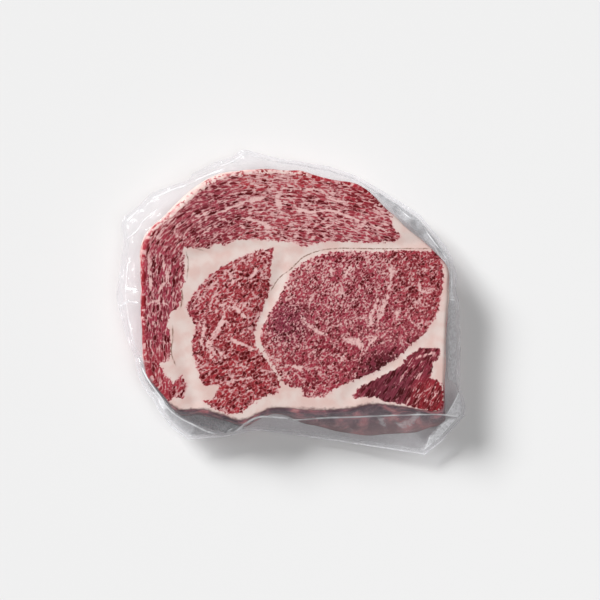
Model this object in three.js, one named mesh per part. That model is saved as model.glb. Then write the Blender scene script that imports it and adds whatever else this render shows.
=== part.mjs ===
// A raw, heavily marbled rib-eye steak shrunk into a clear vacuum pouch, lying flat.
// Millimetres, +Z up. The origin is on the resting surface, under the middle of the pouch.
// The pouch is sealed, so pouch and steak are one solid: a flat slab with a rounded rim,
// from which the film slants out to a fold, drops to a thin welded lip, and runs back in
// under the slab to the foot that the pack rests on.
import * as THREE from "three";

// Driving dimensions
const meatHeight = 28; // thickness of the cut
const rimRound = 2.5; // how far the film rounds the cut's upper edge
const footRound = 2; // the same at the lower edge
const lipThickness = 0.9; // welded double film, with the air that its creases hold
const lipWidth = 3.5; // welded band outside the line where the two sheets meet
const lipHeight = 9.5; // mean height of the pouch's outer edge
const lipSway = 3.5; // how far that edge rises and falls on its way round
const foldRise = 6.5; // how far the fold in the upper sheet lies above the lip
const pleatDepth = 1.4; // depth of the creases that run out from the meat
const pleatCount = 23;
const seamDepth = 1.1; // dip of the film along the fat seams between the muscles
const seamReach = 6; // half the width of that dip
const topSwell = 0.6; // rise of the muscles between the seams
const swellSpan = [27, 23]; // size of those rises, along X and Y
const flankReach = 14; // how far the cut's foot runs out past its face at the lower right
const flankAngle = THREE.MathUtils.degToRad(-51); // the middle of that sloping flank
const flankWidth = THREE.MathUtils.degToRad(17); // half its width, seen from the middle
const tentGap = 2.5; // least run of loose film between the cut's rim and the fold

// How finely the solid is divided
const segments = 160; // round the outline
const topRings = 15; // from the middle of the cut face to its rim
const ringCrowding = 0.85; // below 1, the rings stand closer together towards the rim
const curveSteps = 40; // samples between two outline points

// Outline of the cut face, from the narrow shoulder round the cap muscle
const meatOutline = [
  [118, 20], [108, 33], [97, 43], [73, 65], [56, 82], [41, 87], [26, 90], [7, 95], [-24, 96],
  [-47, 93], [-62, 87], [-75, 77], [-91, 61], [-104, 50], [-110, 38], [-111, 16], [-110, -24],
  [-108, -51], [-104, -62], [-93, -76], [-83, -86], [-65, -87], [-47, -92], [-35, -95], [-25, -91],
  [-13, -86], [16, -88], [45, -86], [61, -83], [86, -85], [105, -88], [112, -86], [114, -60],
  [116, -24], [118, 4],
];

// The crease along which the upper sheet folds down
const foldOutline = [
  [122, 9], [119, 26], [111, 38], [104, 49], [98, 57], [89, 62], [68, 80], [47, 94], [7, 103],
  [-29, 106], [-56, 100], [-71, 90], [-87, 80], [-113, 58], [-120, 44], [-123, 25], [-122, -2],
  [-118, -32], [-106, -61], [-89, -80], [-67, -95], [-51, -100], [-43, -101], [-33, -97],
  [-21, -92], [22, -91], [59, -92], [96, -94], [116, -92], [125, -71], [123, -62], [124, -28],
];

// The welded outer edge: short straight runs of taut film between its corners
const filmOutline = [
  [123, 29], [118, 39], [99, 64], [84, 75], [50, 96], [30, 103], [-8, 109], [-32, 116], [-37, 117],
  [-44, 111], [-58, 107], [-75, 98], [-78, 93], [-105, 83], [-114, 73], [-126, 63], [-128, 56],
  [-126, 44], [-129, 16], [-131, 1], [-124, -26], [-112, -54], [-106, -67], [-98, -84], [-88, -97],
  [-76, -106], [-48, -104], [-25, -99], [-6, -101], [35, -107], [100, -117], [113, -107],
  [130, -88], [131, -81], [127, -66], [128, -28], [127, -1], [122, 14],
];

// Where the fat seams run across the cut face
const capSeam = [[-79, 25], [-67, 29], [-30, 37], [-5, 37], [7, 32], [30, 37], [82, 38], [101, 41]];
const innerSeam = [[-79, 25], [-77, 4], [-83, -18], [-80, -42], [-75, -64], [-70, -79]];
const eyeSeam = [[-5, 37], [-7, 20], [-11, 6], [-18, -11], [-24, -27]];
const heelSeam = [[40, -79], [53, -65], [74, -54], [88, -42], [108, -27]];

// Points along a smooth line, or a closed one, through the given points
function smoothLine(points, closed) {
  const through = points.map(([x, y]) => new THREE.Vector3(x, y, 0));
  const curve = new THREE.CatmullRomCurve3(through, closed, "centripetal");
  return curve.getPoints(points.length * curveSteps);
}

// The corners of a closed outline, the first of them again at its end
function straightLine(points) {
  return [...points, points[0]].map(([x, y]) => new THREE.Vector3(x, y, 0));
}

const meatLine = smoothLine(meatOutline, true);
const foldLine = smoothLine(foldOutline, true);
const filmLine = straightLine(filmOutline);
const seamLines = [capSeam, innerSeam, eyeSeam, heelSeam].map((seam) => smoothLine(seam, false));

// Distance from the middle to a closed outline, along the ray at an angle
function reachOf(outline, angle) {
  const ray = new THREE.Vector3(Math.cos(angle), Math.sin(angle), 0);
  for (let i = 0; i + 1 < outline.length; i++) {
    const from = outline[i];
    const to = outline[i + 1];
    const fromSide = ray.x * from.y - ray.y * from.x;
    const toSide = ray.x * to.y - ray.y * to.x;
    const share = fromSide / (fromSide - toSide);
    const reach = from.dot(ray) + (to.dot(ray) - from.dot(ray)) * share;
    if (share >= 0 && share <= 1 && reach > 0) {
      return reach;
    }
  }
  throw new Error("the outline doesn't surround the middle");
}

// Distance from a point of the cut face to the nearest seam
function seamDistance(x, y) {
  let nearest = Infinity;
  for (const seam of seamLines) {
    for (const point of seam) {
      nearest = Math.min(nearest, Math.hypot(point.x - x, point.y - y));
    }
  }
  return nearest;
}

// Height of the cut face: swollen muscles, parted by dips along the seams
function faceHeight(x, y) {
  const away = seamDistance(x, y) / seamReach;
  const dip = Math.exp(-away * away);
  const swell = Math.cos(x / swellSpan[0]) * Math.cos(y / swellSpan[1] + 0.4);
  return meatHeight + topSwell * swell * (1 - dip) - seamDepth * dip;
}

// How far the foot of the slab runs out past its face
function flankAt(angle) {
  const turn = angle - flankAngle;
  const away = Math.atan2(Math.sin(turn), Math.cos(turn)) / flankWidth;
  return flankReach * Math.exp(-away * away);
}

// Height of the welded edge, which rises and falls on its way round
function lipHeightAt(angle) {
  return lipHeight + lipSway * (0.6 * Math.sin(2 * angle + 0.7) + 0.4 * Math.sin(5 * angle));
}

// Depth of the radial creases, as a sharp zigzag of uneven pitch
function pleatAt(angle) {
  const turn = (pleatCount * angle) / (2 * Math.PI) + 0.45 * Math.sin(3 * angle + 1);
  const share = turn - Math.floor(turn);
  return pleatDepth * (4 * Math.abs(share - 0.5) - 1);
}

// The rings of one direction, as [reach from the middle, height], from the rim to the foot
function sideRings(angle) {
  const meat = reachOf(meatLine, angle);
  const film = Math.max(reachOf(filmLine, angle), meat + 2 * lipWidth);
  const root = film - lipWidth;
  const fold = THREE.MathUtils.clamp(reachOf(foldLine, angle), meat + tentGap, root - 0.5);
  const foot = meat + flankAt(angle) - footRound;
  const rim = faceHeight(meat * Math.cos(angle), meat * Math.sin(angle));
  const lip = lipHeightAt(angle);
  const crease = lip + foldRise;
  const pleat = pleatAt(angle);
  const half = lipThickness / 2;
  const tentTop = rim - rimRound;
  return [
    [meat - rimRound * 0.3, rim - rimRound * 0.3],
    [meat + 0.3, tentTop],
    [(meat + fold) / 2, tentTop + (crease - tentTop) * 0.55 + pleat],
    [fold, crease + pleat * 0.6],
    [(fold + root) / 2, (crease + lip + half) / 2 + pleat * 0.4],
    [root, lip + half],
    [film, lip + half],
    [film, lip - half],
    [root, lip - half],
    [(root + foot) / 2, lip * 0.42 + pleat * 0.3],
    [foot + footRound, footRound * 0.7],
    [foot, 0],
  ];
}

// Every ring of one direction, from the middle of the face to the middle of the foot
function profileAt(angle) {
  const inner = reachOf(meatLine, angle) - rimRound;
  const rings = [];
  for (let i = 0; i <= topRings; i++) {
    const reach = inner * Math.pow(i / topRings, ringCrowding);
    rings.push([reach, faceHeight(reach * Math.cos(angle), reach * Math.sin(angle))]);
  }
  rings.push(...sideRings(angle));
  const foot = rings[rings.length - 1][0];
  rings.push([foot * 0.5, 0], [0, 0]);
  return rings;
}

// A ball whose rings of latitude are moved onto the pack's own rings
function packGeometry() {
  const geometry = new THREE.SphereGeometry(1, segments, profileAt(0).length - 1);
  const place = geometry.getAttribute("position");
  for (let column = 0; column <= segments; column++) {
    const angle = ((column % segments) / segments) * 2 * Math.PI;
    profileAt(angle).forEach(([reach, height], ring) => {
      const at = ring * (segments + 1) + column;
      place.setXYZ(at, reach * Math.cos(angle), reach * Math.sin(angle), height);
    });
  }
  geometry.computeVertexNormals();
  return geometry;
}

const marbledBeef = new THREE.MeshStandardMaterial({ color: 0xb46a6c, roughness: 0.3, metalness: 0 });

const pack = new THREE.Mesh(packGeometry(), marbledBeef);
pack.name = "sealed_steak_pack";

const steak = new THREE.Group();
steak.add(pack);

export default steak;
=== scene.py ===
import math
import bmesh
import bpy
import numpy as np
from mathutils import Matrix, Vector


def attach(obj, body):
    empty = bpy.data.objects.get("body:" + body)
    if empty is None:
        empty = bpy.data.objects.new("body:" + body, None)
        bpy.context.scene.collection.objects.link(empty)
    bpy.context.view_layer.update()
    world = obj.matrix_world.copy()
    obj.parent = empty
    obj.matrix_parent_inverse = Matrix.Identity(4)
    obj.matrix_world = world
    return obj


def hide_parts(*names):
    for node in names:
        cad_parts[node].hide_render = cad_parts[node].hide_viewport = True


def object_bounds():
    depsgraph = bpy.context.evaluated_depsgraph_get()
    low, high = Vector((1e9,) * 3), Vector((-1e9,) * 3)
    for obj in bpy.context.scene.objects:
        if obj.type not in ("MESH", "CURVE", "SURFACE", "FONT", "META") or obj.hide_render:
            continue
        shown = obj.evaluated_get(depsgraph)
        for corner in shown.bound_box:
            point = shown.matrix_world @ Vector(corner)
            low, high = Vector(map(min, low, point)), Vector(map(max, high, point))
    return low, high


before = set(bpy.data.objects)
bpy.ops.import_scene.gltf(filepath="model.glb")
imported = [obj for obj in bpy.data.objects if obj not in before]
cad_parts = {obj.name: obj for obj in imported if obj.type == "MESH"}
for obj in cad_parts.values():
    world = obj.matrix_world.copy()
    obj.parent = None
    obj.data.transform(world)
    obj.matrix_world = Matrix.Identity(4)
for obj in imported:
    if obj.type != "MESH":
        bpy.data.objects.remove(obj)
cadLow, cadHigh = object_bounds()
mm = 0.001  # the frame is in metres, the settings below are in millimetres
batch = 4000  # places measured at once, which bounds the memory in use

# The pack's own sizes, as in its solid, but for the flank, which reaches further inside the
# film, and the seams, which dip half as deep
pack = {
    "meatHeight": 28.0,
    "rimRound": 2.5,
    "footRound": 2.0,
    "lipWidth": 3.5,
    "lipHeight": 9.5,
    "lipSway": 3.5,
    "foldRise": 6.5,
    "tentGap": 2.5,
    "seamDepth": 0.55,
    "seamReach": 6.0,
    "topSwell": 0.6,
    "swellSpan": (27, 23),
    # how far the cut's foot runs out past its face: direction in degrees, millimetres
    "flank": [(-94, 0), (-86, 4), (-78, 8), (-70, 12), (-63, 18), (-56, 23), (-49, 24), (-44, 19),
              (-40, 9), (-36, 3), (-32, 0)],
    "meatOutline": [
        (118, 20), (108, 33), (97, 43), (73, 65), (56, 82), (41, 87), (26, 90), (7, 95), (-24, 96),
        (-47, 93), (-62, 87), (-75, 77), (-91, 61), (-104, 50), (-110, 38), (-111, 16),
        (-110, -24), (-108, -51), (-104, -62), (-93, -76), (-83, -86), (-65, -87), (-47, -92),
        (-35, -95), (-25, -91), (-13, -86), (16, -88), (45, -86), (61, -83), (86, -85), (105, -88),
        (112, -86), (114, -60), (116, -24), (118, 4)],
    "foldOutline": [
        (122, 9), (119, 26), (111, 38), (104, 49), (98, 57), (89, 62), (68, 80), (47, 94),
        (7, 103), (-29, 106), (-56, 100), (-71, 90), (-87, 80), (-113, 58), (-120, 44), (-123, 25),
        (-122, -2), (-118, -32), (-106, -61), (-89, -80), (-67, -95), (-51, -100), (-43, -101),
        (-33, -97), (-21, -92), (22, -91), (59, -92), (96, -94), (116, -92), (125, -71),
        (123, -62), (124, -28)],
    "filmOutline": [
        (123, 29), (118, 39), (99, 64), (84, 75), (50, 96), (30, 103), (-8, 109), (-32, 116),
        (-37, 117), (-44, 111), (-58, 107), (-75, 98), (-78, 93), (-105, 83), (-114, 73),
        (-126, 63), (-128, 56), (-126, 44), (-129, 16), (-131, 1), (-124, -26), (-112, -54),
        (-106, -67), (-98, -84), (-88, -97), (-76, -106), (-48, -104), (-25, -99), (-6, -101),
        (35, -107), (100, -117), (113, -107), (130, -88), (131, -81), (127, -66), (128, -28),
        (127, -1), (122, 14)],
    "seams": [
        [(-79, 25), (-67, 29), (-30, 37), (-5, 37), (7, 32), (30, 37), (82, 38), (101, 41)],
        [(-79, 25), (-77, 4), (-83, -18), (-80, -42), (-75, -64), (-70, -79)],
        [(-5, 37), (-7, 20), (-11, 6), (-18, -11), (-24, -27)],
        [(40, -79), (53, -65), (74, -54), (88, -42), (108, -27)]],
}


def smoothLine(points, closed, steps=24):
    # a centripetal Catmull-Rom line through the points
    p = [np.array(q, float) for q in points]
    count = len(p)
    spans = count if closed else count - 1
    line = []
    for i in range(spans):
        p1, p2 = p[i], p[(i + 1) % count]
        p0 = p[i - 1] if closed or i > 0 else 2 * p1 - p2
        p3 = p[(i + 2) % count] if closed or i + 2 < count else 2 * p2 - p1
        t1 = np.linalg.norm(p1 - p0) ** 0.5
        t2 = t1 + np.linalg.norm(p2 - p1) ** 0.5
        t3 = t2 + np.linalg.norm(p3 - p2) ** 0.5
        for t in np.linspace(t1, t2, steps, endpoint=False):
            a1 = (t1 - t) / t1 * p0 + t / t1 * p1
            a2 = (t2 - t) / (t2 - t1) * p1 + (t - t1) / (t2 - t1) * p2
            a3 = (t3 - t) / (t3 - t2) * p2 + (t - t2) / (t3 - t2) * p3
            b1 = (t2 - t) / t2 * a1 + t / t2 * a2
            b2 = (t3 - t) / (t3 - t1) * a2 + (t - t1) / (t3 - t1) * a3
            line.append((t2 - t) / (t2 - t1) * b1 + (t - t1) / (t2 - t1) * b2)
    if not closed:
        line.append(p[-1])
    return np.array(line)


def straightLine(points, steps=40):
    # a closed line with straight runs, finely divided
    p = np.array(points, float)
    nextP = np.roll(p, -1, 0)
    share = np.linspace(0, 1, steps, endpoint=False)[:, None, None]
    return (p[None] + (nextP - p)[None] * share).transpose(1, 0, 2).reshape(-1, 2)


def reachAlong(line):
    # gives a function: the reach from the middle to the line, for an array of angles
    angles = np.arctan2(line[:, 1], line[:, 0])
    reaches = np.hypot(line[:, 0], line[:, 1])
    order = np.argsort(angles)
    return lambda turn: np.interp(turn, angles[order], reaches[order], period=2 * math.pi)


meatReach = reachAlong(smoothLine(pack["meatOutline"], True))
foldReach = reachAlong(smoothLine(pack["foldOutline"], True))
filmReach = reachAlong(straightLine(pack["filmOutline"]))
seamPoints = np.concatenate([smoothLine(seam, False) for seam in pack["seams"]])


def nearestTo(points, x, y):
    # distance from each place to the nearest of the points
    out = np.empty(len(x))
    for start in range(0, len(x), batch):
        part = slice(start, start + batch)
        away = np.hypot(x[part, None] - points[None, :, 0], y[part, None] - points[None, :, 1])
        out[part] = away.min(1)
    return out


def faceHeight(x, y):
    dip = np.exp(-(nearestTo(seamPoints, x, y) / pack["seamReach"]) ** 2)
    spanX, spanY = pack["swellSpan"]
    swell = np.cos(x / spanX) * np.cos(y / spanY + 0.4)
    return pack["meatHeight"] + pack["topSwell"] * swell * (1 - dip) - pack["seamDepth"] * dip


def flankAt(turn):
    angles, reaches = np.array(pack["flank"], float).T
    turns = np.degrees(np.arctan2(np.sin(turn), np.cos(turn)))
    return sum(np.interp(turns + shift, angles, reaches) for shift in (-3, 0, 3)) / 3


def signedDistance(x, y, corners):
    # distance in from a closed outline, negative outside it
    a = np.array(corners, float)
    b = np.roll(a, -1, 0)
    run = b - a
    out = np.empty(len(x))
    for start in range(0, len(x), batch):
        part = slice(start, start + batch)
        px = x[part, None]
        py = y[part, None]
        share = ((px - a[:, 0]) * run[:, 0] + (py - a[:, 1]) * run[:, 1]) / (run ** 2).sum(1)
        share = np.clip(share, 0, 1)
        away = np.hypot(px - a[:, 0] - share * run[:, 0], py - a[:, 1] - share * run[:, 1]).min(1)
        rise = np.where(run[:, 1] == 0, 1e-9, run[:, 1])
        spans = (a[:, 1] > py) != (b[:, 1] > py)
        crossing = spans & (px < run[:, 0] * (py - a[:, 1]) / rise + a[:, 0])
        out[part] = np.where(crossing.sum(1) % 2 == 1, away, -away)
    return out


def alongLine(x, y, points):
    # how far along a line each place lies, its signed distance from it, and the line's length
    line = smoothLine(points, False)
    step = np.gradient(line, axis=0)
    length = np.hypot(step[:, 0], step[:, 1])
    step = step / length[:, None]
    run = np.concatenate([[0], np.cumsum(np.hypot(*np.diff(line, axis=0).T))])
    along = np.empty(len(x))
    across = np.empty(len(x))
    for start in range(0, len(x), batch):
        part = slice(start, start + batch)
        near = np.hypot(x[part, None] - line[:, 0], y[part, None] - line[:, 1]).argmin(1)
        dx = x[part] - line[near, 0]
        dy = y[part] - line[near, 1]
        along[part] = run[near] + dx * step[near, 0] + dy * step[near, 1]
        across[part] = step[near, 0] * dy - step[near, 1] * dx
    return along, across, run[-1]


def toLinear(hexColour):
    out = []
    for i in (0, 2, 4):
        c = int(hexColour.lstrip("#")[i:i + 2], 16) / 255
        out.append(c / 12.92 if c <= 0.04045 else ((c + 0.055) / 1.055) ** 2.4)
    return (*out, 1.0)


def addNode(tree, kind, settings=None, links=None):
    # a node with its properties or socket values, and links from sockets or from nodes, where
    # the first output is meant
    node = tree.nodes.new("ShaderNode" + kind)
    for name, value in (settings or {}).items():
        if isinstance(name, str) and hasattr(node, name):
            setattr(node, name, value)
        else:
            node.inputs[name].default_value = value
    for name, source in (links or {}).items():
        tree.links.new(getattr(source, "outputs", [source])[0], node.inputs[name])
    return node


def setRamp(node, stops):
    # the colours of a ramp, each at its place
    elements = node.color_ramp.elements
    for i, (place, colour) in enumerate(stops):
        stop = elements[i] if i < len(elements) else elements.new(place)
        stop.position = place
        stop.color = toLinear(colour)


def newMaterial(name):
    material = bpy.data.materials.new(name)
    material.use_nodes = True
    material.node_tree.nodes.clear()
    return material, material.node_tree


def finishMesh(name, work, material):
    # turns the working mesh into an object at the origin, smooth shaded
    mesh = bpy.data.meshes.new(name)
    work.to_mesh(mesh)
    work.free()
    mesh.shade_smooth()
    mesh.materials.append(material)
    thing = bpy.data.objects.new(name, mesh)
    bpy.context.scene.collection.objects.link(thing)
    return thing


def readPlaces(mesh):
    flat = np.empty(len(mesh.vertices) * 3)
    mesh.vertices.foreach_get("co", flat)
    return flat.reshape(-1, 3)


def writePlaces(mesh, places):
    mesh.vertices.foreach_set("co", np.ascontiguousarray(places, float).ravel())
    mesh.update()


def writeAttribute(mesh, name, kind, values):
    layer = mesh.attributes.new(name, kind, "POINT")
    key = {"FLOAT": "value", "FLOAT_VECTOR": "vector", "FLOAT_COLOR": "color"}[kind]
    layer.data.foreach_set(key, np.ascontiguousarray(values, np.float32).ravel())


# The steak: the cut face, its side and its lower face as one closed mesh
steak = {
    "columns": 190,  # faces across the cut face
    "rows": 160,
    "sideCuts": 10,
    "clearance": 0.2,  # between the meat and the film under it
    "under": 0.25,  # depth of the cut face below the film drawn tight over it
    "bulge": 4.2,  # how far the fat cover stands out below the rim
    "bulgeAngle": math.radians(135),  # where it stands out most
    # by direction in degrees: how red the rim is, below 0 where skin reaches over it, and
    # how fully fat covers the side
    "redRim": [(-180, 0.9), (-166, 0.7), (-150, 0.4), (-139, 0.3), (-131, -0.6), (-45, -0.6),
               (-30, 0), (40, 0.1), (55, 0.6), (98, 0.6), (108, 0.5), (146, 0.55), (158, 0.9),
               (180, 0.9)],
    "fatCover": [(-180, 0.4), (-160, 0.0), (-150, -0.5), (-40, -0.5), (-25, 0.3), (60, 0.7),
                 (100, 1), (150, 1), (165, 0.6), (180, 0.4)],
    "rimRedness": 1.8,  # how far lean meat spreads over the fat where the rim is red
    "rimRedReach": 2.5,
    "muscles": {
        "cap": {
            "outline": [
                (84, 45), (78, 51), (76, 59), (72, 65), (59, 78), (49, 85), (38, 86), (26, 89),
                (7, 93), (-24, 94), (-47, 91), (-61, 85), (-73, 75), (-90, 59), (-103, 48),
                (-110, 37), (-111, -4), (-109, -32), (-108, -50), (-104, -61), (-98, -70),
                (-91, -78), (-86, -79), (-84, -71), (-86, -64), (-92, -58), (-95, -52), (-89, -50),
                (-87, -42), (-88, -32), (-90, -22), (-88, -14), (-82, -9), (-80, -3), (-80, 4),
                (-78, 11), (-79, 35), (-68, 35), (-61, 34), (-56, 38), (-47, 37), (-41, 41),
                (-18, 41), (-5, 40), (2, 39), (7, 36), (12, 36), (19, 38), (30, 40), (61, 39),
                (75, 39), (81, 41)],
            "spine": [
                (-96, -80), (-98, -40), (-97, 0), (-92, 30), (-76, 50), (-52, 62), (-22, 68),
                (20, 66), (60, 60), (90, 52)],
            "fleck": 1.6,  # mean width of a lean fleck
            "stretch": 3.0,  # its length over its width
        },
        "inner": {
            "outline": [
                (-11, 36), (-23, 35), (-32, 32), (-46, 25), (-57, 18), (-66, 10), (-74, -1),
                (-78, -8), (-76, -15), (-71, -23), (-74, -39), (-72, -47), (-69, -57), (-66, -66),
                (-62, -69), (-52, -68), (-58, -78), (-65, -79), (-59, -84), (-54, -87), (-46, -90),
                (-37, -89), (-27, -82), (-18, -76), (-7, -74), (-7, -67), (-10, -58), (-16, -49),
                (-24, -40), (-26, -29), (-24, -23), (-19, -9), (-14, 4), (-14, 19), (-12, 30)],
            "turn": 40,  # direction of its grain, in degrees
            "fleck": 1.9,
            "stretch": 1.5,
        },
        "eye": {
            "outline": [
                (0, 17), (7, 24), (19, 30), (30, 33), (45, 34), (65, 33), (83, 35), (97, 34),
                (107, 34), (114, 27), (115, 13), (113, -1), (111, -12), (105, -23), (100, -30),
                (91, -37), (86, -42), (77, -50), (65, -57), (52, -63), (37, -69), (26, -76),
                (17, -78), (9, -76), (8, -70), (1, -70), (-5, -68), (-10, -58), (-16, -49),
                (-22, -38), (-23, -29), (-20, -21), (-15, -12), (-8, 0), (-3, 10)],
            "turn": 50,
            "fleck": 1.65,
            "stretch": 1.35,
        },
        "heel": {
            "outline": [
                (97, -39), (108, -39), (112, -42), (109, -49), (105, -52), (105, -57), (104, -62),
                (109, -63), (113, -68), (113, -86), (104, -88), (96, -86), (84, -83), (70, -81),
                (64, -77), (45, -78), (45, -75), (53, -67), (64, -62), (74, -57), (81, -53),
                (87, -45)],
            "turn": 58,
            "fleck": 1.35,
            "stretch": 4.5,
        },
        "sliver": {
            "outline": [(-80, -59), (-75, -67), (-76, -73), (-78, -78), (-87, -77), (-90, -72),
                        (-86, -65)],
            "turn": 70,
            "fleck": 2.0,
            "stretch": 2.0,
        },
    },
    "gaps": [  # where the muscles part, and juice has turned the fat brown: half width, line
        (0.3, [(-15, 2), (-11, 9), (-8, 13), (0, 19), (5, 24), (9, 28), (20, 33), (32, 35),
               (60, 35), (71, 35), (93, 35), (105, 35)]),
        (0.3, [(-78, 34), (-76, 25), (-77, 11)]),
        (0.4, [(-81, 7), (-80, -3), (-82, -12)]),
        (0.4, [(-87, -22), (-87, -35), (-88, -42), (-84, -54)]),
        (0.3, [(-71, 35), (-63, 33)])],
    "veins": [  # the larger threads of fat inside the muscles: half width, line
        (1.1, [(-105, 34), (-105, 22), (-104, 11), (-104, 1)]),
        (0.5, [(-102, 35), (-98, 45), (-90, 57), (-82, 65)]),
        (0.6, [(-93, 29), (-94, 22), (-92, 11), (-97, 4), (-98, -4), (-104, -6), (-104, -10)]),
        (0.5, [(-98, -4), (-92, -7), (-89, -10)]),
        (0.4, [(-88, 25), (-91, 13), (-88, 4)]),
        (1.6, [(-10, 80), (-9, 71), (-6, 64)]),
        (0.7, [(-57, 63), (-50, 64), (-41, 68), (-28, 72), (-15, 76)]),
        (0.8, [(-39, 58), (-28, 57), (-17, 52), (-8, 48)]),
        (0.6, [(7, 81), (21, 80), (34, 72), (46, 69)]),
        (0.6, [(1, 66), (15, 63), (30, 64), (42, 60), (54, 55)]),
        (0.5, [(-75, 55), (-65, 61), (-57, 63)]),
        (0.6, [(48, 51), (61, 52), (73, 48)]),
        (1.5, [(-48, -11), (-51, -22), (-56, -31), (-60, -37), (-58, -45), (-55, -52)]),
        (0.9, [(-63, -17), (-64, -26), (-65, -36), (-64, -43)]),
        (1.0, [(-48, -29), (-39, -36), (-30, -39), (-22, -42)]),
        (1.2, [(-48, -9), (-41, -10), (-36, -15), (-28, -19)]),
        (0.7, [(-42, -25), (-41, -16)]),
        (0.8, [(-49, -68), (-41, -64), (-33, -63), (-27, -62)]),
        (0.6, [(-47, 19), (-43, 11), (-44, 2)]),
        (0.7, [(-24, 25), (-27, 16), (-31, 8)]),
        (0.6, [(-56, -38), (-49, -46), (-44, -53)]),
        (0.9, [(30, 22), (31, 12)]),
        (1.5, [(31, 3), (36, 0), (40, 4)]),
        (0.8, [(79, 26), (75, 20), (75, 13), (74, 5), (70, -1)]),
        (0.9, [(65, 1), (63, -9), (60, -16), (58, -25)]),
        (0.9, [(76, 3), (70, -6), (67, -15), (63, -24)]),
        (0.8, [(97, 14), (96, 5), (99, 2), (109, 5)]),
        (1.7, [(37, -30), (42, -35), (49, -34), (53, -40), (56, -44)]),
        (0.8, [(7, -12), (10, -19), (23, -29), (31, -31)]),
        (0.8, [(-7, -55), (0, -53), (7, -55), (14, -52)]),
        (0.7, [(33, -55), (39, -47), (44, -42)]),
        (0.7, [(46, 25), (42, 16), (37, 10)]),
        (0.7, [(85, -4), (80, -13), (78, -22)]),
        (0.7, [(21, 4), (15, -4), (14, -13)]),
        (0.6, [(51, -49), (56, -42), (60, -35), (69, -29)]),
        (0.5, [(83, -83), (88, -78), (91, -75)]),
        (0.6, [(92, -83), (96, -75), (103, -70), (109, -68)]),
        (0.6, [(101, -82), (107, -74), (112, -69)]),
        (0.6, [(86, -52), (94, -47), (105, -44), (112, -43)]),
        (0.4, [(79, -71), (82, -62), (89, -55)]),
        (0.4, [(90, -67), (96, -59), (104, -53)])],
    # how rich in fat the meat is, and its lean colour: place, radius, richness, colour
    "tones": [
        (0, 70, 200, 0.062, "#ab414b"), (-98, 0, 42, -0.03, "#a23d50"),
        (-105, -60, 20, -0.02, "#a83845"), (-28, 92, 13, 0.06, "#b03039"),
        (12, 90, 12, 0.04, "#b03039"), (52, 78, 12, -0.02, "#a52f3a"),
        (-60, 60, 30, -0.01, "#a03e4d"),
        (-45, 0, 45, 0.0, "#ab353d"), (-40, -60, 32, -0.015, "#aa3139"),
        (-60, 6, 15, 0.07, "#b23a46"), (-24, 6, 15, -0.025, "#9c2c33"),
        (40, -10, 60, 0.0, "#aa3d50"), (95, 15, 28, -0.02, "#a63541"),
        (-2, -20, 18, -0.05, "#8b3449"), (30, -55, 30, -0.02, "#a73546"),
        (68, -62, 26, -0.18, "#7b3342"), (98, -50, 16, -0.13, "#8d3343"),
        (104, -76, 15, -0.11, "#9d2a34")],
}


def steakSide(turn, ring, face):
    # reach and height of one ring of the steak's side, counted down from the rim
    meat = meatReach(turn)
    around = np.cos(turn - steak["bulgeAngle"])
    bulge = steak["bulge"] * (0.08 + 0.92 * np.clip(around, 0, 1) ** 6)
    flank = flankAt(turn)
    lump = 0.35 * np.sin(17 * turn + ring) + 0.3 * np.sin(29 * turn - 2.1 * ring)
    # out from the rim, share of the bulge, share of the flank, height
    stations = [
        (-2.5, 0, 0, face), (-0.9, 0.05, 0, face - 0.4), (-0.15, 0.25, 0, face - 1.7),
        (0, 0.55, 0.02, face - 4.5), (0, 0.9, 0.08, face - 8.5), (0, 1, 0.2, 15.5),
        (0, 0.97, 0.4, 11.5), (0, 0.85, 0.62, 7.5), (0, 0.7, 0.84, 4.0), (0, 0.5, 0.97, 1.7),
        (-0.8, 0.4, 0.99, 0.6), (-2.2, 0.3, 0.95, steak["clearance"])]
    out, swell, spread, height = stations[ring]
    free = 0.0 if ring < 2 or ring > 9 else 1.0
    return meat + out + bulge * swell + flank * spread + lump * free, height


def makeSteak(material):
    work = bmesh.new()
    bmesh.ops.create_grid(work, x_segments=steak["columns"], y_segments=steak["rows"], size=1)
    made = bmesh.ops.extrude_face_region(work, geom=work.faces[:], use_keep_orig=True)
    raised = [v for v in made["geom"] if isinstance(v, bmesh.types.BMVert)]
    bmesh.ops.translate(work, verts=raised, vec=(0, 0, 1))
    upright = [e for e in work.edges if abs(e.verts[0].co.z - e.verts[1].co.z) > 0.5]
    bmesh.ops.subdivide_edges(work, edges=upright, cuts=steak["sideCuts"], use_grid_fill=True)
    bmesh.ops.recalc_face_normals(work, faces=work.faces[:])
    thing = finishMesh("rib_eye_steak", work, material)
    mesh = thing.data
    square = readPlaces(mesh)
    a, b, level = square.T
    u = a * np.sqrt(1 - b * b / 2)
    v = b * np.sqrt(1 - a * a / 2)
    turn = np.arctan2(v, u)
    share = np.minimum(np.hypot(u, v), 1)
    meat = meatReach(turn)
    faceX = share * (meat - pack["rimRound"]) * np.cos(turn)
    faceY = share * (meat - pack["rimRound"]) * np.sin(turn)
    face = faceHeight(faceX, faceY) - steak["under"]
    ring = np.rint((1 - level) * (steak["sideCuts"] + 1)).astype(int)
    places = np.stack([faceX, faceY, face], 1)
    for i in range(1, steak["sideCuts"] + 2):
        here = ring == i
        reach, height = steakSide(turn[here], i, face[here])
        reach = reach * share[here]
        places[here, 0] = reach * np.cos(turn[here])
        places[here, 1] = reach * np.sin(turn[here])
        places[here, 2] = height
    writePlaces(mesh, places * mm)
    print("steak mesh:", len(mesh.vertices), "vertices")
    paintSteak(mesh, faceX, faceY, places, turn, ring)
    return thing


lineSpan = 4  # how far from a drawn line its values hold: lines of one group lie 8 mm apart


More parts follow.
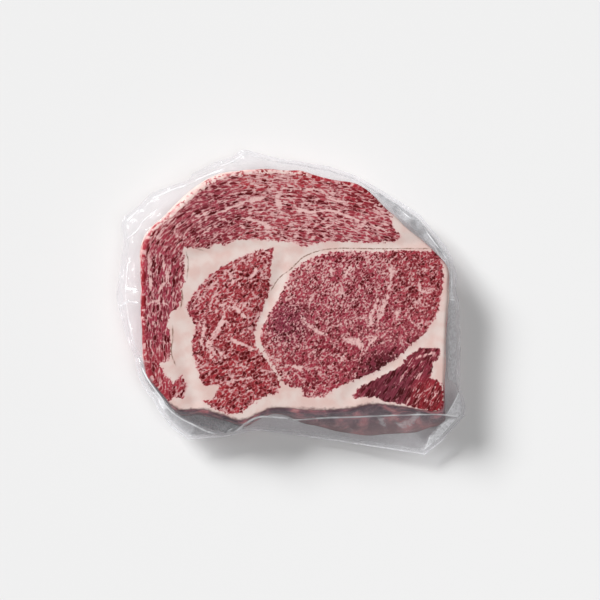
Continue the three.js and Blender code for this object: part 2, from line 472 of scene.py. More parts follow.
def lineField(x, y, lines, taper=3):
    # the nearest line's signed distance, how fully it shows there, and its half width
    offset = np.full(len(x), 9.0)
    shown = np.zeros(len(x))
    width = np.zeros(len(x))
    for half, points in lines:
        along, across, length = alongLine(x, y, points)
        near = (along > -1) & (along < length + 1) & (np.abs(across) < np.abs(offset))
        fade = np.clip(np.minimum(along, length - along) / taper, 0, 1)
        offset = np.where(near, across, offset)
        shown = np.where(near, fade, shown)
        width = np.where(near, half * (0.4 + 0.6 * fade), width)
    shown = shown * (np.abs(offset) < lineSpan)
    return np.stack([offset, shown, width], 1)


def paintSteak(mesh, x, y, places, turn, ring):
    # which muscle each point belongs to, how deep inside it, its grain, richness and colour
    names = list(steak["muscles"])
    depth = np.array([signedDistance(x, y, steak["muscles"][n]["outline"]) for n in names])
    grains = []
    for name in names:
        muscle = steak["muscles"][name]
        if "spine" in muscle:
            along, across, _ = alongLine(x, y, muscle["spine"])
        else:
            c, s = math.cos(math.radians(muscle["turn"])), math.sin(math.radians(muscle["turn"]))
            along, across = c * x + s * y, c * y - s * x
        size = muscle["fleck"]
        grains.append(np.stack([along / muscle["stretch"], across, places[:, 2] * 0.5], 1) / size)
    grain = np.array(grains)[depth.argmax(0), np.arange(len(x))]
    lean = depth.max(0)
    side = (ring > 0) & (ring <= steak["sideCuts"])
    below = np.maximum(pack["meatHeight"] - places[:, 2], 0)
    cover, red = [np.interp(np.degrees(turn), *np.array(steak[n], float).T)
                  for n in ("fatCover", "redRim")]
    # distance in from the rim of the cut face, or, below zero, down the side from it
    rim = np.where(side, -below, meatReach(turn) - np.hypot(x, y))
    lean = lean + steak["rimRedness"] * red * np.exp(-np.maximum(rim, 0) / steak["rimRedReach"])
    writeAttribute(mesh, "skin", "FLOAT_VECTOR", np.stack([red, cover, rim], 1))
    richness = np.zeros(len(x))
    colour = np.zeros((len(x), 3))
    total = np.zeros(len(x))
    for cx, cy, radius, rich, tone in steak["tones"]:
        weight = np.exp(-((x - cx) ** 2 + (y - cy) ** 2) / (0.6 * radius) ** 2) * 60 / radius
        total += weight
        richness += weight * rich
        colour += weight[:, None] * np.array(toLinear(tone)[:3])
    writeAttribute(mesh, "lean", "FLOAT", lean)
    writeAttribute(mesh, "grain", "FLOAT_VECTOR", grain)
    writeAttribute(mesh, "rich", "FLOAT", richness / total)
    writeAttribute(mesh, "tone", "FLOAT_VECTOR", colour / total[:, None])
    for name, taper in (("gaps", 4), ("veins", 7)):
        field = lineField(x, y, steak[name], taper)
        field[side, 1] = 0
        writeAttribute(mesh, name, "FLOAT_VECTOR", field)


def marbledBeef():
    # raw beef, sliced: dull satin lean in small granules, each walled in by a net of fat
    material, tree = newMaterial("raw marbled beef")
    read = {name: addNode(tree, "Attribute", {"attribute_name": name})
            for name in ("lean", "grain", "rich", "tone", "gaps", "veins", "skin")}
    place = addNode(tree, "TexCoord")
    inMm = addNode(tree, "VectorMath", {"operation": "SCALE", "Scale": 1000},
                   {0: place.outputs["Object"]})

    # a wobble of about 3 mm makes the edge between lean and fat ragged
    wobble = addNode(tree, "TexNoise", {"Scale": 0.36, "Detail": 3, "Roughness": 0.65},
                     {"Vector": inMm})
    ragged = addNode(tree, "Math", {"operation": "MULTIPLY_ADD", 1: 7.0},
                     {0: wobble, 2: read["lean"].outputs["Fac"]})
    outside = addNode(tree, "MapRange",
                      {"From Min": 3.1, "From Max": 4.6, "To Min": 1, "To Max": 0},
                      {"Value": ragged})

    # granules: bundles of fibres. The grain attribute is in granule widths, and noise bends it
    bend = addNode(tree, "TexNoise", {"Scale": 0.7, "Detail": 3, "Roughness": 0.6},
                   {"Vector": read["grain"].outputs["Vector"]})
    bent = addNode(tree, "VectorMath", {"operation": "MULTIPLY_ADD", 1: (1.7, 1.7, 1.7)},
                   {0: bend.outputs["Color"], 2: read["grain"].outputs["Vector"]})
    wall = addNode(tree, "TexVoronoi", {"feature": "DISTANCE_TO_EDGE", "Scale": 0.86},
                   {"Vector": bent})
    bundle = addNode(tree, "TexVoronoi", {"Scale": 0.86}, {"Vector": bent})
    bundleTone = addNode(tree, "SeparateColor", links={0: bundle.outputs["Color"]})
    fine = addNode(tree, "TexNoise", {"Scale": 1.15, "Detail": 2, "Roughness": 0.5},
                   {"Vector": read["grain"].outputs["Vector"]})
    # small veins: a crooked net, 12 mm wide
    sway = addNode(tree, "TexNoise", {"Scale": 0.16, "Detail": 3}, {"Vector": inMm})
    swayed = addNode(tree, "VectorMath", {"operation": "MULTIPLY_ADD", 1: (13, 13, 13)},
                     {0: sway.outputs["Color"], 2: inMm})
    net = addNode(tree, "TexVoronoi", {"feature": "DISTANCE_TO_EDGE", "Scale": 0.085},
                  {"Vector": swayed})
    netLine = addNode(tree, "MapRange",
                      {"From Min": 0.01, "From Max": 0.09, "To Min": 1, "To Max": 0},
                      {"Value": net})
    # blotches of richer and leaner meat, 3 to 10 mm
    blotch = addNode(tree, "TexNoise", {"Scale": 0.12, "Detail": 3, "Roughness": 0.62},
                     {"Vector": inMm})

    # drawn lines: pale veins and brown gaps, that sway by a millimetre or less
    lines = {}
    for name, soft, sideways in (("veins", 0.9, 4.0), ("gaps", 0.35, 1.6)):
        parts = addNode(tree, "SeparateXYZ", links={0: read[name].outputs["Vector"]})
        shifted = addNode(tree, "Math", {"operation": "MULTIPLY_ADD", 1: sideways},
                          {0: wobble, 2: parts})
        centred = addNode(tree, "Math", {"operation": "SUBTRACT", 1: sideways / 2}, {0: shifted})
        aside = addNode(tree, "Math", {"operation": "ABSOLUTE"}, {0: centred})
        inside = addNode(tree, "Math", {"operation": "SUBTRACT"}, {0: parts.outputs[2], 1: aside})
        line = addNode(tree, "MapRange", {"From Min": -soft, "From Max": soft * 0.5},
                       {"Value": inside})
        lines[name] = addNode(tree, "Math", {"operation": "MULTIPLY"},
                              {0: line, 1: parts.outputs[1]})

    # how thick the walls of fat are, in granule widths: the sum of these, each with its weight
    sums = [(outside, 0.9), (lines["veins"], 0.24), (netLine, 0.10), (blotch, 0.33), (fine, 0.85),
            (read["rich"].outputs["Fac"], 0.9)]
    room = addNode(tree, "Math", {"operation": "SUBTRACT", 0: -0.632, 1: 0})
    for source, weight in sums:
        room = addNode(tree, "Math", {"operation": "MULTIPLY_ADD", 1: weight},
                       {0: source, 2: room})
    apart = addNode(tree, "Math", {"operation": "MULTIPLY", 1: 0.6}, {0: wall})
    deep = addNode(tree, "Math", {"operation": "SUBTRACT"}, {0: apart, 1: room})
    inGranule = addNode(tree, "MapRange", {"From Min": -0.02, "From Max": 0.07}, {"Value": deep})

    # lean: each bundle a little brighter or darker than the next, from the tone to near black
    darkest = addNode(tree, "VectorMath", {"operation": "MULTIPLY", 1: (0.22, 0.04, 0.05)},
                      {0: read["tone"].outputs["Vector"]})
    core = addNode(tree, "MapRange",
                   {"From Min": 0.0, "From Max": 0.2, "To Min": 0.45, "To Max": -0.18},
                   {"Value": deep})
    shade = addNode(tree, "Math", {"operation": "MULTIPLY_ADD", 1: 1.05, "use_clamp": True},
                    {0: bundleTone, 2: core})
    lean = addNode(tree, "Mix", {"data_type": "RGBA"},
                   {0: shade, 6: darkest, 7: read["tone"].outputs["Vector"]})
    # air and light redden it along the outer rim
    skinParts = addNode(tree, "SeparateXYZ", links={0: read["skin"].outputs["Vector"]})
    nearRim = addNode(tree, "MapRange",
                      {"From Min": 0.5, "From Max": 5.0, "To Min": 0.55, "To Max": 0},
                      {"Value": skinParts.outputs[2]})
    reddened = addNode(tree, "Math", {"operation": "MULTIPLY", "use_clamp": True},
                       {0: nearRim, 1: skinParts})
    lean = addNode(tree, "Mix", {"data_type": "RGBA", 7: toLinear("#b01f2a")},
                   {0: reddened, 6: lean.outputs[2]})
    # where granules touch, the wall between them is a thin paler line
    thin = addNode(tree, "MapRange",
                   {"From Min": 0.0, "From Max": 0.08, "To Min": 0.38, "To Max": 0},
                   {"Value": wall})
    fatter = addNode(tree, "Math", {"operation": "MULTIPLY_ADD", 1: 4.5, 2: 1.0},
                     {0: read["rich"].outputs["Fac"]})
    walled = addNode(tree, "Math", {"operation": "MULTIPLY", "use_clamp": True},
                     {0: thin, 1: fatter})
    lean = addNode(tree, "Mix", {"data_type": "RGBA", 7: toLinear("#c98a8c")},
                   {0: walled, 6: lean.outputs[2]})

    # fat: pinkish between the granules, cream with a little pink in the seams
    fatTone = addNode(tree, "TexNoise", {"Scale": 0.08, "Detail": 3, "Roughness": 0.5},
                      {"Vector": inMm})
    fatRamp = addNode(tree, "ValToRGB", links={0: fatTone})
    setRamp(fatRamp, ((0.38, "#dbbdb4"), (0.58, "#e0cdc5")))
    thick = addNode(tree, "MapRange", {"From Min": 0.04, "From Max": 0.26}, {"Value": room})
    between = addNode(tree, "Mix",
                      {"data_type": "RGBA", 6: toLinear("#c38a8a"), 7: toLinear("#e2b9b4")},
                      {0: thick})
    fat = addNode(tree, "Mix", {"data_type": "RGBA"},
                  {0: outside, 6: between.outputs[2], 7: fatRamp})
    # the skin of the uncut side starts about the rim, and lower where the rim is red
    skinTone = addNode(tree, "TexNoise",
                       {"Scale": 0.07, "Detail": 4, "Roughness": 0.55, "Distortion": 0.4},
                       {"Vector": inMm})
    started = skinParts.outputs[2]
    for noise in (skinTone, wobble):
        started = addNode(tree, "Math", {"operation": "MULTIPLY_ADD", 1: -6.0},
                          {0: noise, 2: started})
    lower = addNode(tree, "Math", {"operation": "MULTIPLY_ADD", 1: 2.5},
                    {0: skinParts, 2: started})
    # in front, a dark band just under the rim is painted shade below the rim
    rimShadeBand = addNode(tree, "MapRange",
                      {"From Min": -6.6, "From Max": -3.8, "To Min": 1, "To Max": 0},
                      {"Value": lower})
    inFront = addNode(tree, "MapRange", {"From Min": 0.1, "From Max": -0.3, "To Max": 0.85},
                      {"Value": skinParts.outputs[1]})
    paintedFrontShade = addNode(tree, "Math", {"operation": "MULTIPLY"}, {0: rimShadeBand, 1: inFront})
    fat = addNode(tree, "Mix", {"data_type": "RGBA", 7: toLinear("#643f43")},
                  {0: paintedFrontShade, 6: fat.outputs[2]})
    coloured = addNode(tree, "Mix", {"data_type": "RGBA"},
                       {0: inGranule, 6: fat.outputs[2], 7: lean.outputs[2]})
    broken = addNode(tree, "MapRange", {"From Min": 0.38, "From Max": 0.58, "To Min": 0.25},
                     {"Value": fine})
    gap = addNode(tree, "Math", {"operation": "MULTIPLY"}, {0: lines["gaps"], 1: broken})
    coloured = addNode(tree, "Mix", {"data_type": "RGBA", 7: toLinear("#846252")},
                       {0: gap, 6: coloured.outputs[2]})

    # the uncut side: a smooth skin, grey-red where meat shows, pinkish where fat covers it
    covered = addNode(tree, "Math", {"operation": "MULTIPLY_ADD", 1: 0.22},
                      {0: skinParts.outputs[1], 2: skinTone})
    skinRamp = addNode(tree, "ValToRGB", links={0: covered})
    setRamp(skinRamp, ((0, "#4c3a43"), (0.34, "#755a64"), (0.42, "#9a727b"), (0.49, "#cc8389"),
                       (0.66, "#d9c0b8")))
    onSide = addNode(tree, "MapRange",
                     {"From Min": -8.0, "From Max": -6.6, "To Min": 1, "To Max": 0},
                     {"Value": lower})
    footward = addNode(tree, "MapRange", {"From Min": -19.0, "From Max": -31.0, "To Max": 0.5},
                       {"Value": started})
    sideTone = addNode(tree, "Mix", {"data_type": "RGBA", 7: toLinear("#b98f8b")},
                       {0: footward, 6: skinRamp})
    coloured = addNode(tree, "Mix", {"data_type": "RGBA"},
                       {0: onSide, 6: coloured.outputs[2], 7: sideTone.outputs[2]})

    bump = addNode(tree, "Bump", {"Strength": 0.4, "Distance": 0.0003}, {"Height": inGranule})
    skin = addNode(tree, "BsdfPrincipled",
                   {"Roughness": 0.5, "IOR": 1.4, "Specular IOR Level": 0.12},
                   {"Base Color": coloured.outputs[2], "Normal": bump})
    addNode(tree, "OutputMaterial", links={"Surface": skin})
    return material


# The pouch: one closed skin of clear film, drawn tight over the meat and loose round it
pouch = {
    "columns": 720,
    "lipGap": 0.08,  # half the thickness of the welded edge
    "faceRings": 40,
    "footRings": 8,
    "pleatDepth": 1.6,
    "runs": [1, 1, 8, 8, 6, 6, 4, 1, 2, 4, 4, 1],  # rings between one station and the next
    "crumples": 130,  # flat facets round the pack
    "crumpleDepth": 1.3,
    "crumpleSpan": 12,  # over which a facet rises to that depth
    # the next value is a painted reflection: the film is made milkier on the side in shade
    "paintedSheenMilk": 0.08,  # how milky the film is where it is milkiest, folded layers apart
    "milkAngle": math.radians(-50),
    # creases of the upper sheet, whose white lines are partly painted highlight: rise, how far the
    # rise reaches, how white, half width, line
    "folds": [
        (1.6, 7, 1.0, 0.5, [(-112, -50), (-105, -63), (-97, -74), (-90, -84), (-81, -91),
                            (-73, -95), (-63, -100), (-56, -102), (-48, -103), (-40, -100),
                            (-32, -95), (-24, -91), (-17, -90), (0, -91)]),
        (1.6, 6, 0.8, 0.4, [(0, -92), (18, -91), (52, -90), (89, -89), (127, -89)]),
        (1.2, 6, 0.7, 0.4, [(126, -70), (126, -51), (126, -33), (125, -13), (125, -3)]),
        (1.4, 6, 0.8, 0.4, [(91, 59), (97, 60), (100, 55), (107, 43), (113, 35), (121, 26)]),
        (1.0, 5, 0.6, 0.4, [(120, 26), (121, 12), (122, 0), (125, -2)]),
        (0.8, 5, 0.6, 0.4, [(52, 94), (58, 90), (68, 82), (79, 72), (91, 59)]),
        (1.4, 6, 0.9, 0.5, [(-126, 57), (-119, 65), (-112, 72), (-108, 77), (-100, 80), (-91, 85),
                            (-78, 89)]),
        (1.2, 6, 0.6, 0.4, [(-57, 103), (-50, 104), (-42, 109), (-35, 115)]),
        (1.0, 6, 0.5, 0.4, [(-122, 27), (-123, 10), (-122, -11), (-117, -32), (-112, -50)])],
    "cuts": [
        (1.0, 5, 0.7, 0.4, [(-94, -89), (-85, -98), (-76, -103), (-65, -105), (-55, -105),
                            (-41, -98)]),
        (1.2, 5, 1.0, 0.5, [(104, -103), (101, -111), (99, -116)]),
        (1.0, 5, 0.8, 0.4, [(115, -89), (121, -80), (126, -70)]),
        (0.8, 4, 0.8, 0.5, [(118, -3), (126, -2)]),
        (0.8, 4, 0.8, 0.4, [(108, 37), (114, 27), (119, 25)]),
        (1.0, 5, 0.9, 0.6, [(53, 87), (57, 82), (64, 78)]),
        (1.2, 6, 0.8, 0.4, [(-126, 45), (-116, 50), (-110, 59), (-99, 68)]),
        (1.0, 5, 0.5, 0.4, [(-35, 114), (-21, 110), (-6, 107), (12, 104)]),
        (0.8, 5, 0.8, 0.6, [(-74, 91), (-68, 93), (-57, 97), (-49, 99)]),
        (0.6, 3, 1.0, 0.6, [(12, 104), (13, 98)]),
        (0.8, 4, 0.9, 0.8, [(-125, 6), (-119, 6), (-113, 4)]),
        (0.8, 4, 0.8, 0.7, [(-127, -5), (-120, -4), (-113, -6)])],
    # where the sheets lie folded over, patches painted milkier or greyer: the milky white is
    # partly the folded film's own haze and partly painted highlight and reflection, the grey is
    # painted shade and dark reflection: how much, how grey, corners
    "layers": [
        (0.45, 0.85, [(-115, -40), (-104, -56), (-97, -70), (-89, -80), (-78, -86), (-62, -85),
                      (-48, -89), (-37, -93), (-30, -92), (-37, -98), (-46, -102), (-59, -99),
                      (-73, -95), (-85, -89), (-97, -79), (-106, -65), (-113, -52)]),
        (0.45, 0.5, [(-122, -30), (-113, -50), (-106, -64), (-97, -78), (-85, -89), (-73, -95),
                     (-59, -99), (-46, -102), (-35, -98), (-25, -100), (-50, -105), (-77, -107),
                     (-90, -98), (-100, -84), (-108, -67), (-114, -54), (-125, -27)]),
        (0.60, 0.55, [(64, 80), (77, 66), (97, 46), (110, 35), (116, 28), (123, 25), (121, 33),
                      (110, 46), (99, 59), (89, 68), (74, 82)]),
        (0.55, 0.32, [(119, 25), (122, 8), (126, -2), (127, -30), (127, -66), (117, -62),
                      (117, -20), (119, 8)]),
        (0.85, 0, [(99, -117), (104, -104), (112, -95), (118, -91), (130, -90), (127, -99),
                   (120, -106), (112, -110)]),
        (0.60, 0, [(115, -89), (121, -80), (126, -70), (130, -82), (128, -89)]),
        (0.75, 0, [(-104, -70), (-98, -72), (-94, -77), (-91, -84), (-96, -84), (-100, -78)]),
        (0.35, 0, [(64, -90), (69, -91), (71, -97), (67, -96)]),
        (0.40, 0, [(78, -95), (88, -92), (95, -86), (97, -88), (90, -95), (83, -98)]),
        (0.80, 0, [(110, 45), (124, 30), (120, 25), (116, 29), (113, 37)]),
        (0.70, 0, [(121, 24), (123, 7), (127, -2), (117, -2), (120, 4)])],
}


def pouchPleats(turn):
    # ridges where the film's corners pull, valleys between them
    corners = np.sort(np.arctan2(*np.array(pack["filmOutline"], float).T[::-1]))
    wrapped = np.concatenate([corners, corners[:1] + 2 * math.pi])
    middles = (wrapped[:-1] + wrapped[1:]) / 2
    size = 0.75 + 0.25 * np.sin(np.arange(len(corners)) * 2.4)
    angles = np.concatenate([corners, middles])
    heights = np.concatenate([size, -0.6 * size]) * pouch["pleatDepth"]
    order = np.argsort(angles)
    return np.interp(turn, angles[order], heights[order], period=2 * math.pi)


def pouchStations(turn):
    # reach, height, looseness and crease of the film, from the rim to the foot
    meat = meatReach(turn)
    film = np.maximum(filmReach(turn), meat + 2 * pack["lipWidth"])
    root = film - pack["lipWidth"]
    fold = np.clip(foldReach(turn), meat + pack["tentGap"], root - 0.5)
    foot = meat + flankAt(turn) - pack["footRound"]
    rim = faceHeight(meat * np.cos(turn), meat * np.sin(turn))
    sway = 0.6 * np.sin(2 * turn + 0.7) + 0.4 * np.sin(5 * turn)
    lip = pack["lipHeight"] + pack["lipSway"] * sway
    crease = lip + pack["foldRise"]
    pleat = pouchPleats(turn)
    tent = rim - pack["rimRound"]
    half = pouch["lipGap"]
    none = turn * 0
    # in front, on the side in shade, the welded edge is painted whiter: a painted highlight
    inFront = np.clip(-1.6 * np.sin(turn) - 0.3, 0, 1)
    return [
        (meat - pack["rimRound"], rim, none, none),
        (meat - 0.7, rim - 0.35, none + 0.1, none),
        (meat + 0.35, tent, none + 0.5, none),
        ((meat + fold) / 2, tent + (crease - tent) * 0.55 + pleat, none + 1, none),
        (fold, crease + pleat * 0.6, none + 1, none),
        ((fold + root) / 2, (crease + lip) / 2 + pleat * 0.4, none + 1, none),
        (root, lip + half, none + 1, none + 0.15),
        (film, lip + half, none + 1, 0.2 + 0.5 * inFront),
        (film, lip - half, none + 1, 0.2 + 0.5 * inFront),
        (root, lip - half, none + 1, none),
        ((root + foot) / 2, lip * 0.42 + pleat * 0.3, none + 1, none),
        (foot + 2, none + 1.4, none + 0.6, none),
        (foot, none, none + 0.2, none),
    ]


def crumpleFilm(x, y):
    # how far the upper sheet is lifted by its facets and creases, and its lines and layers
    seeds = np.random.default_rng(7)
    turn = seeds.uniform(-math.pi, math.pi, pouch["crumples"])
    share = seeds.uniform(0, 1, pouch["crumples"])
    reach = meatReach(turn) + share * (filmReach(turn) - meatReach(turn))
    spots = np.stack([reach * np.cos(turn), reach * np.sin(turn)], 1)
    facets = nearestTo(spots[::2], x, y) - nearestTo(spots[1::2], x, y)
    lifted = np.clip(facets / pouch["crumpleSpan"], -1, 1) * pouch["crumpleDepth"]
    fields = []
    for name in ("folds", "cuts"):
        lines = [(half, points) for _, _, _, half, points in pouch[name]]
        fields.append(lineField(x, y, lines))
        for rise, span, white, _, points in pouch[name]:
            away = nearestTo(smoothLine(points, False), x, y)
            lifted += rise * np.clip(1 - away / span, 0, 1)
            fields[-1][away < lineSpan, 1] *= white
    # milkier towards the front and the right, the side away from the light: painted reflection
    # that brightens the film in shade
    milkAndPaintedSheen = pouch["paintedSheenMilk"] * np.clip(np.cos(np.arctan2(y, x) - pouch["milkAngle"]), 0, 1)
    grey = np.zeros(len(x))
    # the layers paint milky highlights and grey shade over the sheets
    for amount, greyness, corners in pouch["layers"]:
        inside = np.clip(signedDistance(x, y, corners) + 0.5, 0, 1)
        milkAndPaintedSheen += (amount - milkAndPaintedSheen) * inside
        grey += (greyness - grey) * inside
    return lifted, fields[0], fields[1], milkAndPaintedSheen, grey


def makePouch(material):
    rings = pouch["faceRings"] + sum(pouch["runs"]) + pouch["footRings"]
    work = bmesh.new()
    bmesh.ops.create_cone(work, cap_ends=True, cap_tris=True, segments=pouch["columns"],
                          radius1=1, radius2=1, depth=1)
    upright = [e for e in work.edges if abs(e.verts[0].co.z - e.verts[1].co.z) > 0.5]
    bmesh.ops.subdivide_edges(work, edges=upright, cuts=rings - 1, use_grid_fill=True)
    bmesh.ops.recalc_face_normals(work, faces=work.faces[:])
    thing = finishMesh("vacuum_pouch", work, material)
    mesh = thing.data
    x, y, level = readPlaces(mesh).T
    turn = np.arctan2(y, x)
    atMiddle = np.hypot(x, y) < 0.01
    ring = np.rint((0.5 - level) * rings).astype(int)
    places = np.zeros((len(x), 3))
    loose = np.zeros(len(x))
    crease = np.zeros(len(x))
    face = pouch["faceRings"]
    inner = meatReach(turn) - pack["rimRound"]
    onFace = ring <= face
    reach = inner * (ring + 1) / (face + 1)
    places[:, 0] = reach * np.cos(turn)
    places[:, 1] = reach * np.sin(turn)
    places[onFace, 2] = faceHeight(places[onFace, 0], places[onFace, 1])
    posts = pouchStations(turn)
    at = face
    for i, run in enumerate(pouch["runs"]):
        for step in range(1, run + 1):
            at += 1
            here = ring == at
            share = step / run
            start = [p[here] for p in posts[i]]
            end = [p[here] for p in posts[i + 1]]
            r, z, l, c = [s + (e - s) * share for s, e in zip(start, end)]
            places[here, 0] = r * np.cos(turn[here])
            places[here, 1] = r * np.sin(turn[here])
            places[here, 2] = z
            loose[here] = l
            crease[here] = end[3] if step == run else c * 0.15
    for i in range(1, pouch["footRings"] + 1):
        here = ring == at + i
        r = posts[-1][0][here] * (1 - i / (pouch["footRings"] + 1))
        places[here, 0] = r * np.cos(turn[here])
        places[here, 1] = r * np.sin(turn[here])
    top = atMiddle & (level > 0)
    places[atMiddle, 0:2] = 0
    places[top, 2] = faceHeight(np.zeros(1), np.zeros(1))
    places[atMiddle & ~top, 2] = 0
    loose[atMiddle] = 0
    upper = (ring <= face + sum(pouch["runs"][:6])) & ~atMiddle
    lifted, folds, cuts, milkAndPaintedSheen, grey = crumpleFilm(places[:, 0], places[:, 1])
    inFold = np.clip((ring - face - 2) / 4, 0, 1) * (ring <= face + sum(pouch["runs"][:7]))
    places[:, 2] += lifted * loose * inFold * (~atMiddle)
    # nothing stands outside the solid's own box
    places = np.clip(places, np.array(cadLow) / mm + 0.01, np.array(cadHigh) / mm - 0.01)
    folds[~upper, 1] = 0
    cuts[~upper, 1] = 0
    writePlaces(mesh, places * mm)
    writeAttribute(mesh, "loose", "FLOAT", loose)
    # crease carries the welded edge's haze, the folded layers' milky haze and painted highlights
    # and reflections; grey carries painted shade
    writeAttribute(mesh, "crease", "FLOAT", crease + milkAndPaintedSheen * loose * upper)
    writeAttribute(mesh, "grey", "FLOAT", grey * upper)
    # the welded edge is cut, so its shading isn't rounded
    ends = np.empty(len(mesh.edges) * 2, int)
    mesh.edges.foreach_get("vertices", ends)
    rim = face + sum(pouch["runs"][:7])
    first, last = ring[ends.reshape(-1, 2)].T
    cut = (first == last) & ((first == rim) | (first == rim + pouch["runs"][7]))
    sharp = mesh.attributes.new("sharp_edge", "BOOLEAN", "EDGE")
    sharp.data.foreach_set("value", cut)
    writeAttribute(mesh, "folds", "FLOAT_VECTOR", folds)
    writeAttribute(mesh, "cuts", "FLOAT_VECTOR", cuts)
    print("pouch mesh:", len(mesh.vertices), "vertices")
    return thing


def clearFilm():
    # clear polyethylene film, cast and shrunk: glossy, faintly milky where it isn't wet
    material, tree = newMaterial("clear polyethylene film")
    loose = addNode(tree, "Attribute", {"attribute_name": "loose"})
    crease = addNode(tree, "Attribute", {"attribute_name": "crease"})
    place = addNode(tree, "TexCoord")
    inMm = addNode(tree, "VectorMath", {"operation": "SCALE", "Scale": 1000},
                   {0: place.outputs["Object"]})
    bend = addNode(tree, "TexNoise", {"Scale": 0.11, "Detail": 2}, {"Vector": inMm})
    bent = addNode(tree, "VectorMath", {"operation": "MULTIPLY_ADD", 1: (9, 9, 9)},
                   {0: bend.outputs["Color"], 2: inMm})
    # crinkles: flat facets about 10 mm and 4 mm across
    large = addNode(tree, "TexVoronoi", {"feature": "DISTANCE_TO_EDGE", "Scale": 0.09},
                    {"Vector": bent})
    small = addNode(tree, "TexVoronoi", {"feature": "DISTANCE_TO_EDGE", "Scale": 0.26},
                    {"Vector": bent})
    height = addNode(tree, "Math", {"operation": "MULTIPLY_ADD", 1: 0.2}, {0: small, 2: large})
    looseHeight = addNode(tree, "Math", {"operation": "MULTIPLY"},
                          {0: height, 1: loose.outputs["Fac"]})
    # creases: thin lines that turn white, their white partly the film's own and partly painted
    # highlight
    white = None
    for name in ("folds", "cuts"):
        read = addNode(tree, "Attribute", {"attribute_name": name})
        parts = addNode(tree, "SeparateXYZ", links={0: read.outputs["Vector"]})
        aside = addNode(tree, "Math", {"operation": "ABSOLUTE"}, {0: parts})
        inside = addNode(tree, "Math", {"operation": "SUBTRACT"}, {0: parts.outputs[2], 1: aside})
        line = addNode(tree, "MapRange", {"From Min": -0.22, "From Max": 0.12}, {"Value": inside})
        shown = addNode(tree, "Math", {"operation": "MULTIPLY"}, {0: line, 1: parts.outputs[1]})
        white = shown if white is None else addNode(tree, "Math", {"operation": "MAXIMUM"},
                                                    {0: white, 1: shown})
    patchy = addNode(tree, "MapRange",
                     {"From Min": 0.38, "From Max": 0.58, "To Min": 0.5, "To Max": 1},
                     {"Value": bend})
    white = addNode(tree, "Math", {"operation": "MULTIPLY"}, {0: white, 1: patchy})
    # they stand up as small ridges
    ridged = addNode(tree, "Math", {"operation": "MULTIPLY_ADD", 1: 0.2},
                     {0: white, 2: looseHeight})
    bump = addNode(tree, "Bump", {"Strength": 1.0, "Distance": 0.0018}, {"Height": ridged})
    haze = addNode(tree, "Math", {"operation": "MULTIPLY_ADD", 1: 0.055, 2: 0.001},
                   {0: loose.outputs["Fac"]})
    # fine wrinkles, 2 to 3 mm apart, break up the folded layers
    wrinkles = addNode(tree, "TexNoise", {"Scale": 0.42, "Detail": 2, "Distortion": 0.8},
                       {"Vector": bent})
    uneven = addNode(tree, "MapRange",
                     {"From Min": 0.36, "From Max": 0.64, "To Min": 0.68, "To Max": 1.25},
                     {"Value": wrinkles})
    hazed = addNode(tree, "Math", {"operation": "MULTIPLY_ADD"},
                    {0: crease.outputs["Fac"], 1: uneven, 2: haze})
    hazeAll = addNode(tree, "Math", {"operation": "MULTIPLY_ADD", 1: 0.85, "use_clamp": True},
                      {0: white, 2: hazed})
    clear = addNode(tree, "BsdfTransparent", {"Color": toLinear("#fbfbfc")})
    # grey patches: the dark grey mixed into the haze is painted shade and dark reflection
    grey = addNode(tree, "Attribute", {"attribute_name": "grey"})
    paintedGreyShade = addNode(tree, "Math", {"operation": "SUBTRACT", "use_clamp": True},
                     {0: grey.outputs["Fac"], 1: white})
    scatter = addNode(tree, "Mix",
                      {"data_type": "RGBA", 6: toLinear("#f1f1f4"), 7: toLinear("#737579")},
                      {0: paintedGreyShade})
    milky = addNode(tree, "BsdfDiffuse", links={"Color": scatter.outputs[2]})
    body = addNode(tree, "MixShader", links={0: hazeAll, 1: clear, 2: milky})
    gloss = addNode(tree, "BsdfGlossy", {"Roughness": 0.1}, {"Normal": bump})
    facing = addNode(tree, "LayerWeight", {"Blend": 0.5}, {"Normal": bump})
    grazing = addNode(tree, "Math", {"operation": "POWER", 1: 3}, {0: facing.outputs["Facing"]})
    # two faces mirror where the film is loose, and hardly any where it is wetted to the meat
    dry = addNode(tree, "Math", {"operation": "MULTIPLY_ADD", 1: 0.011, 2: 0.002},
                  {0: loose.outputs["Fac"]})
    mirror = addNode(tree, "Math", {"operation": "MULTIPLY_ADD", 1: 0.25}, {0: grazing, 2: dry})
    mirrorAll = addNode(tree, "Math", {"operation": "MULTIPLY_ADD", 1: 0.15},
                        {0: white, 2: mirror})
    surface = addNode(tree, "MixShader", links={0: mirrorAll, 1: body, 2: gloss})
    addNode(tree, "OutputMaterial", links={"Surface": surface})
    return material


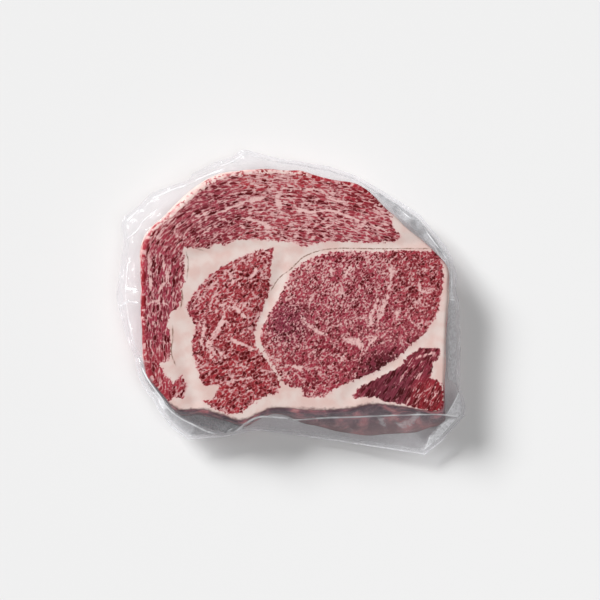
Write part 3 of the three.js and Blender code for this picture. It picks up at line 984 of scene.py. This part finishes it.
# Floor, light and camera
studio = {
    "floorSize": 3000,
    "floorColour": "#e7e7e7",
    "skyStrength": 0.1,
    # lights, in metres: place, width, height and watts
    "lights": {
        "key softbox": ((-13.62, 11.43, 9.14), 9.8, 5.4, 6180),
        "fill softbox": ((1.53, -1.28, 3.46), 2.6, 2.6, 65)},
    "cameraAim": Vector((1, -4, 15)),
    "cameraDistance": 1200,
    "cameraElevation": math.radians(80),
    "cameraLens": 96,
    "cameraShift": (8.5 / 600, 3 / 600),
}


def makeFloor():
    # matt painted board
    material, tree = newMaterial("matt white board")
    paint = addNode(tree, "BsdfPrincipled",
                    {"Base Color": toLinear(studio["floorColour"]), "Roughness": 0.9,
                     "Specular IOR Level": 0.0})
    addNode(tree, "OutputMaterial", links={"Surface": paint})
    work = bmesh.new()
    bmesh.ops.create_grid(work, x_segments=1, y_segments=1, size=studio["floorSize"] * mm)
    bmesh.ops.translate(work, verts=work.verts[:], vec=(0, 0, -0.02 * mm))
    floor = finishMesh("floor", work, material)


def makeStudio():
    scene = bpy.context.scene
    scene.view_settings.view_transform = "Standard"
    world = bpy.data.worlds.new("studio")
    world.use_nodes = True
    world.node_tree.nodes["Background"].inputs["Color"].default_value = (1, 1, 1, 1)
    world.node_tree.nodes["Background"].inputs["Strength"].default_value = studio["skyStrength"]
    scene.world = world
    for name, (place, width, height, watts) in studio["lights"].items():
        lamp = bpy.data.lights.new(name, "AREA")
        lamp.shape = "RECTANGLE"
        lamp.size = width
        lamp.size_y = height
        lamp.energy = watts
        box = bpy.data.objects.new(name, lamp)
        box.location = place
        box.rotation_euler = (-Vector(place)).to_track_quat("-Z", "Y").to_euler()
        scene.collection.objects.link(box)
    lens = bpy.data.cameras.new("overhead camera")
    lens.lens = studio["cameraLens"]
    lens.shift_x, lens.shift_y = studio["cameraShift"]
    lens.clip_end = 20
    camera = bpy.data.objects.new("overhead camera", lens)
    back = Vector((0, -math.cos(studio["cameraElevation"]), math.sin(studio["cameraElevation"])))
    camera.location = (studio["cameraAim"] + back * studio["cameraDistance"]) * mm
    camera.rotation_euler = (-back).to_track_quat("-Z", "Y").to_euler()
    scene.collection.objects.link(camera)
    scene.camera = camera


beef = makeSteak(marbledBeef())
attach(beef, "root")
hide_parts("sealed_steak_pack")
print("steak done")

film = makePouch(clearFilm())
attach(film, "root")
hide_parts("sealed_steak_pack")
print("pouch done")

makeFloor()
makeStudio()
print("studio done")
